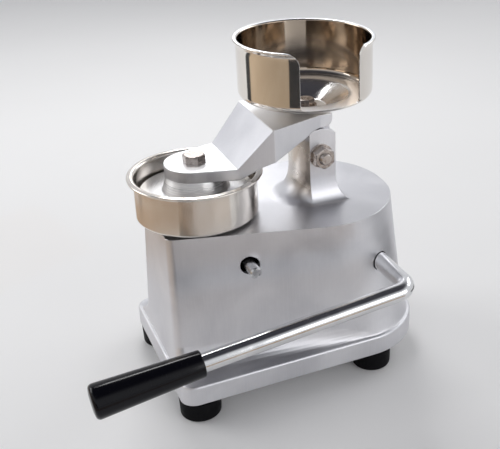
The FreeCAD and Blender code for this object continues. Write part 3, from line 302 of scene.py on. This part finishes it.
def black_grip():
    """Moulded gloss plastic: faint orange peel, hazy patches and fine scuffs."""
    look = Look("black_grip")
    peel = look.noise(420, 2)
    scuff = look.noise(1, 4, stretch=(260, 1500, 260))
    haze = look.noise(30, 3)
    tone = look.mix(look.ramp(scuff, 0, 0.5, 0.62, 0.8),
                    rgb(0.003, 0.003, 0.005), rgb(0.022, 0.022, 0.026))
    rough = look.combine("ADD", look.ramp(haze, 0.11, 0.19, 0.35, 0.7),
                         look.ramp(scuff, 0, 0.14, 0.6, 0.8))
    normal = look.bump(peel, 0.02 * MM)
    return look.finish(Base_Color=tone, Roughness=rough, Normal=normal, Specular_IOR_Level=0.22)


def black_rubber():
    """Moulded rubber with a pebbled skin, a little dusty near the ground."""
    look = Look("black_rubber")
    pebble = look.noise(1500, 2)
    dust = look.noise(90, 4)
    low = look.ramp(look.axes_of(look.place)[2], 0.7, 0.0, 0.0, 5 * MM)
    tone = look.mix(look.combine("MULTIPLY", look.ramp(dust, 0, 1, 0.4, 0.75), low),
                    rgb(0.003, 0.003, 0.004), rgb(0.020, 0.019, 0.018))
    tone = look.mix(look.ramp(pebble, 0, 0.4, 0.55, 0.8), tone, rgb(0.008, 0.008, 0.009))
    rough = look.ramp(dust, 0.5, 0.72, 0.3, 0.7)
    normal = look.bump(pebble, 0.05 * MM)
    return look.finish(Base_Color=tone, Roughness=rough, Normal=normal, Specular_IOR_Level=0.10)


def steel(name, dark, light, rough_low, rough_high, stretch=None, edge_tone=0.85):
    """Plain metal finishes: cloudy tone, bright rubbed edges, and fine grain, or cut lines where
    stretch says how fine they are along each axis."""
    look = Look(name)
    edge, soft = look.worn_edges(0.3 * MM)
    cloud = look.noise(190, 4, distortion=0.5)
    grain = look.noise(1 if stretch else 1100, 3, stretch=stretch)
    spot = look.noise(620, 2)
    tone = look.mix(look.ramp(cloud, 0, 1, 0.3, 0.7), rgb(*dark), rgb(*light))
    stain = [0.45 * part for part in dark]
    tone = look.mix(look.ramp(spot, 0, 0.45, 0.62, 0.78), tone, rgb(*stain))
    tone = look.mix(edge, tone, rgb(edge_tone, edge_tone, edge_tone))
    rough = look.combine("ADD", look.ramp(cloud, rough_low, rough_high, 0.3, 0.7),
                         look.ramp(grain, -0.03, 0.05, 0.35, 0.7))
    normal = look.bump(grain, 0.012 * MM, soft)
    return look.finish(Base_Color=tone, Metallic=1.0, Roughness=rough, Normal=normal)


def nylon():
    """Milky moulded nylon with faint orange peel."""
    look = Look("nylon")
    cloud = look.noise(120, 3)
    peel = look.noise(700, 2)
    tone = look.mix(look.ramp(cloud, 0, 1, 0.3, 0.7), rgb(0.70, 0.69, 0.65), rgb(0.82, 0.81, 0.77))
    return look.finish(Base_Color=tone, Roughness=look.ramp(peel, 0.38, 0.55, 0.35, 0.7),
                       Normal=look.bump(peel, 0.03 * MM))


looks = {
    "satin_casting": satin_casting(),
    "housing": satin_casting("satin_casting_with_polished_front", polish=True),
    # the press arm's level faces get a painted highlight
    "press_arm": satin_casting("satin_casting_with_painted_top_highlight", painted_top_highlight=True),
    "mirror_steel": mirror_steel(),
    # the paper bowl gets a painted brown reflection inside and a painted highlight on its floor
    "paper_bowl": mirror_steel("mirror_steel_with_painted_reflections_inside", (0.08, 0.13),
                               centre_of("paper_bowl_bolt")),
    "turned_aluminium": turned_aluminium(),
    "polished_rod": polished_rod(),
    "black_grip": black_grip(),
    "black_rubber": black_rubber(),
    "fastener_steel": steel("fastener_steel", (0.34, 0.30, 0.28), (0.54, 0.49, 0.46), 0.22, 0.34),
    "ground_steel": steel("ground_steel", (0.60, 0.60, 0.61), (0.74, 0.74, 0.75), 0.18, 0.28,
                          stretch=(300, 2600, 2600)),
    "linkage_steel": steel("linkage_steel", (0.42, 0.42, 0.43), (0.58, 0.58, 0.60), 0.32, 0.46),
    "sheet_steel": steel("sheet_steel", (0.52, 0.52, 0.54), (0.64, 0.64, 0.66), 0.30, 0.42,
                         stretch=(40, 2200, 2200)),
    "brass": steel("brass", (0.60, 0.42, 0.17), (0.76, 0.57, 0.27), 0.20, 0.33,
                   stretch=(500, 500, 3200), edge_tone=0.80),
    "nylon": nylon(),
}


# --- meshes -------------------------------------------------------------------------------------

def piece_from(bm, name, node, smooth_angle=32.0):
    """Makes a piece of the object from a bmesh, in place of a node, with that node's finish."""
    for face in bm.faces:
        face.smooth = True
    for edge in bm.edges:
        edge.smooth = edge.calc_face_angle(0.0) < math.radians(smooth_angle)
    mesh = bpy.data.meshes.new(name)
    bm.to_mesh(mesh)
    bm.free()
    piece = bpy.data.objects.new(name, mesh)
    bpy.context.scene.collection.objects.link(piece)
    mesh.materials.append(looks.get(node, looks[slot_of[node]]))
    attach(piece, body_of[node])
    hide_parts(node)
    return piece


def round_edges(piece, width, angle=32.0, segments=3):
    """Rounds the edges that are sharper than an angle, and keeps the broad faces flat."""
    bevel = piece.modifiers.new("rounded", "BEVEL")
    bevel.width = width
    bevel.segments = segments
    bevel.limit_method = "ANGLE"
    bevel.angle_limit = math.radians(angle)
    bevel.use_clamp_overlap = True
    even = piece.modifiers.new("even", "WEIGHTED_NORMAL")
    even.keep_sharp = True
    even.weight = 80


def welded(node, name, edge_width):
    """The node's own faces welded into one skin, flat areas merged, sharp edges rounded off."""
    same_spot = 0.002 * MM
    bm = bmesh.new()
    bm.from_mesh(frame["nodes"][node].data)
    bmesh.ops.remove_doubles(bm, verts=bm.verts, dist=same_spot)
    bmesh.ops.dissolve_limit(bm, angle_limit=math.radians(0.4), verts=bm.verts, edges=bm.edges)
    piece = piece_from(bm, name, node)
    round_edges(piece, edge_width)
    return piece


def arc(centre, radius, start, end, steps=8):
    """Points of an arc in a profile, from start to end degrees, 0 outward and 90 up."""
    points = []
    for step in range(steps + 1):
        angle = math.radians(start + (end - start) * step / steps)
        points.append((centre[0] + radius * math.cos(angle), centre[1] + radius * math.sin(angle)))
    return points


def spin(bm, profile, place, segments=192):
    """Turns a closed profile of (radius, height) points round +Z; place carries it to its spot."""
    rings = []
    on_axis = 0.0001 * MM
    turns = [2 * math.pi * step / segments for step in range(segments)]
    for radius, height in profile:
        if radius < on_axis:
            rings.append([bm.verts.new(place @ Vector((0, 0, height)))])
            continue
        rings.append([bm.verts.new(place @ Vector((radius * math.cos(turn), radius * math.sin(turn),
                                                   height))) for turn in turns])
    for ring, after in zip(rings, rings[1:] + rings[:1]):
        if len(ring) == 1 and len(after) == 1:
            continue
        for step in range(segments):
            following = (step + 1) % segments
            corners = [ring[step % len(ring)], ring[following % len(ring)],
                       after[following % len(after)], after[step % len(after)]]
            bm.faces.new(list(dict.fromkeys(corners)))
    bmesh.ops.recalc_face_normals(bm, faces=bm.faces)


def upright(x, y, z=0.0):
    return Matrix.Translation((x, y, z))


def leaning(place, degrees, axis):
    """A spot whose +Z is turned by an angle round the X or Y axis."""
    return Matrix.Translation(place) @ Matrix.Rotation(math.radians(degrees), 4, axis)


def turned_piece(name, node, profile, place, segments=192):
    bm = bmesh.new()
    spin(bm, profile, place, segments)
    return piece_from(bm, name, node)


def joined(first, second, operation):
    """Boolean of two pieces, made final; the second one is used up."""
    step = first.modifiers.new("joined", "BOOLEAN")
    step.operation = operation
    step.object = second
    step.solver = "EXACT"
    bpy.context.view_layer.update()
    finished = first.evaluated_get(bpy.context.evaluated_depsgraph_get())
    result = bpy.data.meshes.new_from_object(finished)
    first.modifiers.clear()
    first.data = result
    bpy.data.objects.remove(second)
    return first


def loose_piece(name, bm):
    """Plain object from a bmesh, for cutting, joining or the studio."""
    mesh = bpy.data.meshes.new(name)
    bm.to_mesh(mesh)
    bm.free()
    thing = bpy.data.objects.new(name, mesh)
    bpy.context.scene.collection.objects.link(thing)
    return thing


# castings
welded("housing", "housing_casting", 0.7 * MM)
welded("press_arm", "press_arm_casting", 0.8 * MM)


# forming bowl
def forming_bowl():
    low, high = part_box("mould_bowl")
    middle = (low + high) / 2
    lip = (high.x - low.x) / 2
    wall, sheet, corner, bead = lip - 5 * MM, 1.5 * MM, 2.4 * MM, 1.0 * MM
    hole = 9 * MM
    bottom, rim = low.z, high.z
    profile = [(hole, bottom)]
    profile += arc((wall - corner, bottom + corner), corner, -90, 0)
    profile += [(wall, rim - 12 * MM)]
    profile += arc((wall + 2.6 * MM, rim - 5.0 * MM), 2.6 * MM, 180, 90, 6)
    profile += arc((lip - bead, rim - bead - 0.4 * MM), bead, -90, 90, 8)
    profile += [(wall + 1.6 * MM, rim)]
    profile += arc((wall + 1.6 * MM, rim - 3.0 * MM), 3.0 * MM, 90, 180, 8)
    profile += [(wall - sheet, rim - 14 * MM)]
    profile += arc((wall - corner, bottom + corner), corner - sheet, 0, -90, 5)
    profile += [(hole, bottom + sheet)]
    return turned_piece("forming_bowl", "mould_bowl", profile, upright(middle.x, middle.y))


forming_bowl()


# paper bowl, with the opening that faces the handle's side
def opening_cutter(centre, low, high, lip):
    """Solid as wide as the opening: rounded at the foot and flaring out to the rim."""
    half, shoulder, toe = 26 * MM, 11 * MM, 3 * MM
    floor, rim = low.z + 15.9 * MM, high.z
    right = arc((half - toe, floor + toe), toe, -90, 0, 6)
    right += arc((half + shoulder, rim - shoulder), shoulder, 180, 90, 10)
    right += [(half + shoulder, rim + 5 * MM)]
    outline = right + [(-y, z) for y, z in reversed(right)]
    bm = bmesh.new()
    near = [bm.verts.new((centre.x + 5 * MM, centre.y + y, z)) for y, z in outline]
    bm.faces.new(near)
    grown = bmesh.ops.extrude_face_region(bm, geom=bm.faces[:])
    moved = [item for item in grown["geom"] if isinstance(item, bmesh.types.BMVert)]
    bmesh.ops.translate(bm, verts=moved, vec=(lip, 0, 0))
    bmesh.ops.recalc_face_normals(bm, faces=bm.faces)
    return loose_piece("opening_cutter", bm)


def paper_bowl():
    low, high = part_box("paper_bowl")
    middle = centre_of("paper_bowl_bolt")
    lip = (high.y - low.y) / 2
    wall, sheet, corner = lip - 2.4 * MM, 1.5 * MM, 7 * MM
    seat, rim = low.z, high.z
    bottom = seat + 12.3 * MM
    hole, seat_radius = 4.2 * MM, 16 * MM
    profile = [(hole, seat), (seat_radius, seat)]
    profile += arc((17 * MM, seat + 2 * MM), 2 * MM, -80, -58, 3)
    profile += [(37 * MM, bottom - 1.0 * MM), (40 * MM, bottom)]
    profile += arc((wall - corner, bottom + corner), corner, -90, 0, 12)
    profile += [(wall, rim - 8 * MM), (wall + 0.1 * MM, rim - 4.6 * MM),
                (wall + 0.6 * MM, rim - 3.0 * MM)]
    profile += arc((lip - 1.0 * MM, rim - 1.0 * MM), 1.0 * MM, -60, 90, 8)
    profile += [(wall + 0.4 * MM, rim)]
    profile += arc((wall + 0.4 * MM, rim - 2.0 * MM), 2.0 * MM, 90, 168, 6)
    profile += [(wall - sheet, rim - 7 * MM)]
    profile += arc((wall - corner, bottom + corner), corner - sheet, 0, -90, 12)
    profile += [(40.5 * MM, bottom + sheet), (36 * MM, bottom + sheet - 0.8 * MM),
                (18.0 * MM, seat + sheet + 0.7 * MM), (seat_radius, seat + sheet),
                (hole, seat + sheet)]
    bowl = turned_piece("paper_bowl_spun", "paper_bowl", profile, upright(middle.x, middle.y))
    joined(bowl, opening_cutter(middle, low, high, lip), "DIFFERENCE")
    round_edges(bowl, 0.3 * MM, angle=50, segments=2)
    return bowl


paper_bowl()


# press plate
def press_plate():
    low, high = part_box("press_plate")
    middle = (low + high) / 2
    edge = (high.x - low.x) / 2
    thick, foot, neck, bore = 3 * MM, 27.5 * MM, 24.2 * MM, 5 * MM
    under, over, hollow = 0.8 * MM, 0.6 * MM, 1.0 * MM
    hub_slope = 14.0
    face = low.z + thick
    profile = [(bore, low.z)]
    profile += arc((edge - under, low.z + under), under, -90, 0, 4)
    profile += arc((edge - over, face - over), over, 0, 90, 4)
    profile += arc((foot + hollow, face + hollow), hollow, -90, -180 + hub_slope, 6)
    profile += arc((neck - over, high.z - over), over, hub_slope, 90, 5)
    profile += [(bore, high.z)]
    return turned_piece("press_plate_turned", "press_plate", profile, upright(middle.x, middle.y))


press_plate()


# handle grip
def handle_grip():
    low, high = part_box("handle_grip")
    shaft = joint_at["handle_lift"]
    slope = 5.7
    place = leaning(((low.x + high.x) / 2, shaft.y, shaft.z), 90 + slope, "X")
    start, rod_end, end = 178.5 * MM, 238 * MM, 262.5 * MM
    rear, front, bore = 10.5 * MM, (high.x - low.x) / 2, 7.5 * MM
    rear_round, front_round, mouth = 1.4 * MM, 3.6 * MM, 0.5 * MM
    taper = end - start - 6.4 * MM
    steps = 8
    profile = [(bore, rod_end), (bore, start + mouth), (bore + mouth, start)]
    profile += arc((rear - rear_round, start + rear_round), rear_round, -90, 0, 6)
    profile += [(rear + (front - rear) * step / steps, start + rear_round + taper * step / steps)
                for step in range(1, steps + 1)]
    profile += arc((front - front_round, end - 4.2 * MM), front_round, 3, 74, 10)
    profile += [(front - 6 * MM, end - 0.15 * MM), (0.0, end), (0.0, rod_end)]
    return turned_piece("handle_grip_moulded", "handle_grip", profile, place)


handle_grip()


# feet
def feet():
    low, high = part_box("feet")
    radius, foot_radius, height = 17.8 * MM, 17.2 * MM, high.z - low.z
    screw_hole, recess = 3.3 * MM, 7 * MM
    below, above = 3.0 * MM, 1.0 * MM
    seat = centre_of("bottom_plate").z - 6.25 * MM
    profile = [(screw_hole, seat), (recess, seat), (recess, 0.4 * MM), (recess + 0.4 * MM, 0)]
    profile += arc((foot_radius - below, below), below, -90, -3, 10)
    profile += [(radius - 0.1 * MM, height - 2 * MM)]
    profile += arc((radius - above, height - above), above, 5, 90, 8)
    profile += [(screw_hole, height)]
    bm = bmesh.new()
    for x in (low.x + radius, high.x - radius):
        for y in (low.y + radius, high.y - radius):
            spin(bm, profile, upright(x, y), 96)
    return piece_from(bm, "rubber_feet", "feet")


feet()


# --- hexagon heads ------------------------------------------------------------------------------

def hexagon_block(name, place, radius, height, chamfer_both=False):
    """A hexagon head along its own +Z, with its corners turned off in a shallow cone."""
    bm = bmesh.new()
    bottom, top = [[bm.verts.new(place @ Vector((radius * math.cos(math.radians(60 * corner)),
                                                 radius * math.sin(math.radians(60 * corner)),
                                                 level))) for corner in range(6)]
                   for level in (0, height)]
    bm.faces.new(bottom)
    bm.faces.new(top)
    for corner in range(6):
        following = (corner + 1) % 6
        bm.faces.new([bottom[corner], bottom[following], top[following], top[corner]])
    bmesh.ops.recalc_face_normals(bm, faces=bm.faces)
    block = loose_piece(name, bm)
    cone = bmesh.new()
    flat, rim = radius * 0.83, radius * 1.02
    fall = (rim - flat) * math.tan(math.radians(30))
    low = [(0.0, -0.2 * MM), (rim, -0.2 * MM)]
    if chamfer_both:
        low = [(0.0, 0.0), (flat, 0.0), (rim, fall)]
    spin(cone, low + [(rim, height - fall), (flat, height), (0.0, height)], place, 96)
    return joined(block, loose_piece(name + "_cone", cone), "INTERSECT")


INTO_HEAD = 0.5 * MM


def with_shank(name, node, heads, shanks):
    """One fastener from its finished heads and its turned shanks."""
    bm = bmesh.new()
    for head in heads:
        bm.from_mesh(head.data)
        bpy.data.objects.remove(head)
    for profile, place in shanks:
        part = bmesh.new()
        spin(part, profile, place, 64)
        mesh = bpy.data.meshes.new("shank")
        part.to_mesh(mesh)
        part.free()
        bm.from_mesh(mesh)
        bpy.data.meshes.remove(mesh)
    piece = piece_from(bm, name, node, 24.0)
    round_edges(piece, 0.22 * MM, angle=26, segments=2)
    return piece


def threaded(radius, start, end, thread_from, pitch=1.25 * MM):
    """Shank profile from start to end, with thread grooves beyond thread_from."""
    profile = [(0.0, start), (radius, start), (radius, thread_from)]
    depth = 0.55 * pitch
    level = thread_from
    while level + pitch < end - 0.8 * MM:
        profile += [(radius - depth, level + 0.5 * pitch), (radius, level + pitch)]
        level += pitch
    profile += [(radius - depth, end - 0.4 * MM), (radius - 1.4 * depth, end), (0.0, end)]
    return profile


def upright_bolt(name, node, head_height, shank_radius):
    low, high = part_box(node)
    middle = (low + high) / 2
    radius = (high.x - low.x) / 2
    seat = upright(middle.x, middle.y, high.z - head_height)
    head = hexagon_block(name + "_head", seat, radius, head_height)
    length = high.z - head_height - low.z
    downward = seat @ Matrix.Rotation(math.pi, 4, "X")
    shank = threaded(shank_radius, -INTO_HEAD, length, length * 0.45)
    return with_shank(name, node, [head], [(shank, downward)])


upright_bolt("press_plate_hex_bolt", "press_plate_bolt", 6.5 * MM, 5 * MM)
upright_bolt("paper_bowl_hex_bolt", "paper_bowl_bolt", 5.3 * MM, 4 * MM)


def pivot_fasteners():
    bolt_low, bolt_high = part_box("pivot_bolt")
    nut_low, nut_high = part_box("pivot_nut")
    axis = joint_at["arm_lift"]
    head_height, shank_radius, thread_length = 6.5 * MM, 5 * MM, 16 * MM
    seat = (bolt_low.x + head_height, axis.y, axis.z)
    radius = (bolt_high.z - bolt_low.z) / 2
    head = hexagon_block("pivot_head", leaning(seat, -90, "Y"), radius, head_height)
    length = bolt_high.x - bolt_low.x - head_height
    shank = threaded(shank_radius, -INTO_HEAD, length, length - thread_length)
    with_shank("pivot_hex_bolt", "pivot_bolt", [head], [(shank, leaning(seat, 90, "Y"))])
    nut_place = leaning((nut_low.x, axis.y, axis.z), 90, "Y")
    thick = nut_high.x - nut_low.x
    nut = hexagon_block("pivot_nut_block", nut_place, radius, thick, True)
    mouth, lead = 6.2 * MM, 0.6 * MM
    bore = bmesh.new()
    spin(bore, [(0.0, -MM), (mouth, -MM), (shank_radius, lead), (shank_radius, thick - lead),
                (mouth, thick + MM), (0.0, thick + MM)], nut_place, 64)
    joined(nut, loose_piece("nut_bore", bore), "DIFFERENCE")
    with_shank("pivot_hex_nut", "pivot_nut", [nut], [])


pivot_fasteners()

# every node that stays as it was made gets the finish of its slot
for node, thing in frame["nodes"].items():
    if not thing.hide_render:
        thing.data.materials.clear()
        thing.data.materials.append(looks[slot_of[node]])


# --- studio -------------------------------------------------------------------------------------

def plain_surface(name, tone, rough=0.6):
    """Pale studio surface with only a breath of unevenness."""
    look = Look(name)
    cloud = look.noise(1.6, 3)
    fine = look.noise(60, 2)
    darker = tuple(0.97 * part for part in tone)
    colour = look.mix(look.ramp(cloud, 0, 1, 0.3, 0.7), rgb(*darker), rgb(*tone))
    return look.finish(Base_Color=colour, Roughness=look.ramp(fine, rough - 0.05, rough + 0.05),
                       Normal=look.bump(fine, 0.02 * MM))


def flat_sheet(name, corners, material):
    bm = bmesh.new()
    bm.faces.new([bm.verts.new(corner) for corner in corners])
    sheet = loose_piece(name, bm)
    sheet.data.materials.append(material)
    return sheet


def card(name, inner, outer, start, end, wall, material):
    """Part of a ring on the floor with a wall standing on its far edge, seen only in reflections;
    azimuth 0 is -Y and 90 is +X."""
    bm = bmesh.new()
    steps = 24
    lift = 2 * MM
    rings = []
    for radius, height in ((inner, lift), (outer, lift), (outer, lift + wall)):
        ring = []
        for step in range(steps + 1):
            azimuth = math.radians(start + (end - start) * step / steps)
            ring.append(bm.verts.new((radius * math.sin(azimuth), -radius * math.cos(azimuth),
                                      height)))
        rings.append(ring)
    for near, far in zip(rings, rings[1:]):
        for step in range(steps):
            bm.faces.new([near[step], near[step + 1], far[step + 1], far[step]])
    sheet = loose_piece(name, bm)
    sheet.data.materials.append(material)
    sheet.visible_camera = False
    sheet.visible_diffuse = False
    sheet.visible_shadow = False
    sheet.visible_transmission = False
    return sheet


def area_light(name, place, target, width, height, power, tone=(1, 1, 1)):
    data = bpy.data.lights.new(name, "AREA")
    data.shape = "RECTANGLE"
    data.size, data.size_y = width, height
    data.energy = power
    data.color = tone
    light = bpy.data.objects.new(name, data)
    bpy.context.scene.collection.objects.link(light)
    light.location = place
    light.rotation_euler = (Vector(target) - Vector(place)).to_track_quat("-Z", "Y").to_euler()
    return light


def studio():
    reach = 8.0
    corners = [(-reach, -reach, 0), (reach, -reach, 0), (reach, reach, 0), (-reach, reach, 0)]
    flat_sheet("floor", corners, plain_surface("pale_floor", (0.93, 0.925, 0.92)))
    tan_near = plain_surface("tan_card", (0.56, 0.40, 0.27), 0.9)
    tan_far = plain_surface("light_tan_card", (0.66, 0.51, 0.35), 0.9)
    dark = plain_surface("dark_card", (0.02, 0.02, 0.022), 0.9)
    near, far = (0.31, 0.47), (0.50, 2.0)
    wall = 0.45
    card("tan_card_near", *near, -75, 132, 0.0, tan_near)
    card("dark_card_near", *near, 158, 190, 0.0, dark)
    card("tan_card_far", *far, -38, 43, wall, tan_far)
    card("dark_card_left", *far, -49, -38, wall, dark)
    card("dark_card_right", *far, 43, 62, wall, dark)
    middle, grip = (0, 0, 0.14), (0.09, -0.11, 0.07)
    area_light("far_left", (-1.15, 0.32, 0.73), middle, 0.34, 0.30, 0.85)
    area_light("far_high", (-0.80, 0.11, 1.25), grip, 0.50, 0.20, 4.2)
    area_light("front_left", (-0.9, -1.2, 0.9), middle, 0.9, 0.9, 8.0)
    area_light("near_side", (1.15, 0.65, 0.42), middle, 0.9, 0.6, 3.2)
    area_light("behind", (-0.4, 1.5, 1.1), middle, 1.4, 0.5, 5)
    surroundings()


def surroundings():
    """Light from all round: pale low down and dark straight overhead."""
    world = bpy.data.worlds.new("studio")
    bpy.context.scene.world = world
    world.use_nodes = True
    nodes, links = world.node_tree.nodes, world.node_tree.links
    direction = nodes.new("ShaderNodeTexCoord")
    parts = nodes.new("ShaderNodeSeparateXYZ")
    links.new(direction.outputs["Generated"], parts.inputs[0])
    blend = nodes.new("ShaderNodeValToRGB")
    blend.color_ramp.interpolation = "EASE"
    blend.color_ramp.elements[0].position = 0.55
    blend.color_ramp.elements[0].color = (0.93, 0.94, 0.97, 1)
    blend.color_ramp.elements[1].position = 0.88
    blend.color_ramp.elements[1].color = (0.062, 0.062, 0.074, 1)
    links.new(parts.outputs[2], blend.inputs[0])
    background = nodes["Background"]
    links.new(blend.outputs[0], background.inputs["Color"])
    background.inputs["Strength"].default_value = 0.78


def shift_at_this_spot(eye, side, amount):
    """Off-centre framing that holds only where the camera stands now; elsewhere it is centred."""
    curve = eye.data.driver_add(side)
    curve.driver.type = "SCRIPTED"
    spot = curve.driver.variables.new()
    spot.name = "x"
    spot.type = "TRANSFORMS"
    spot.targets[0].id = eye
    spot.targets[0].transform_type = "LOC_X"
    curve.driver.expression = f"{amount} if abs(x - {eye.location.x:.6f}) < 0.0001 else 0.0"


def camera():
    data = bpy.data.cameras.new("view")
    data.sensor_width = 36.0
    data.lens = 64.621
    data.clip_start, data.clip_end = 0.01, 30
    eye = bpy.data.objects.new("view", data)
    bpy.context.scene.collection.objects.link(eye)
    flange = centre_of("bottom_plate")
    below_pivot = joint_at["arm_lift"].z - 189 * MM
    from_flange = Vector((0.66984, -0.25761, 0.47897))
    eye.location = Vector((flange.x, flange.y, below_pivot)) + from_flange
    azimuth, elevation = math.radians(63.6745), math.radians(24.3972)
    level = math.cos(elevation)
    back = Vector((math.sin(azimuth) * level, -math.cos(azimuth) * level, math.sin(elevation)))
    eye.rotation_mode = "QUATERNION"
    eye.rotation_quaternion = (-back).to_track_quat("-Z", "Y")
    bpy.context.scene.camera = eye
    shift_at_this_spot(eye, "shift_x", -0.2054)
    shift_at_this_spot(eye, "shift_y", -0.0728)


studio()
camera()

view = bpy.context.scene.view_settings
view.view_transform = "Standard"
view.exposure = 0.0
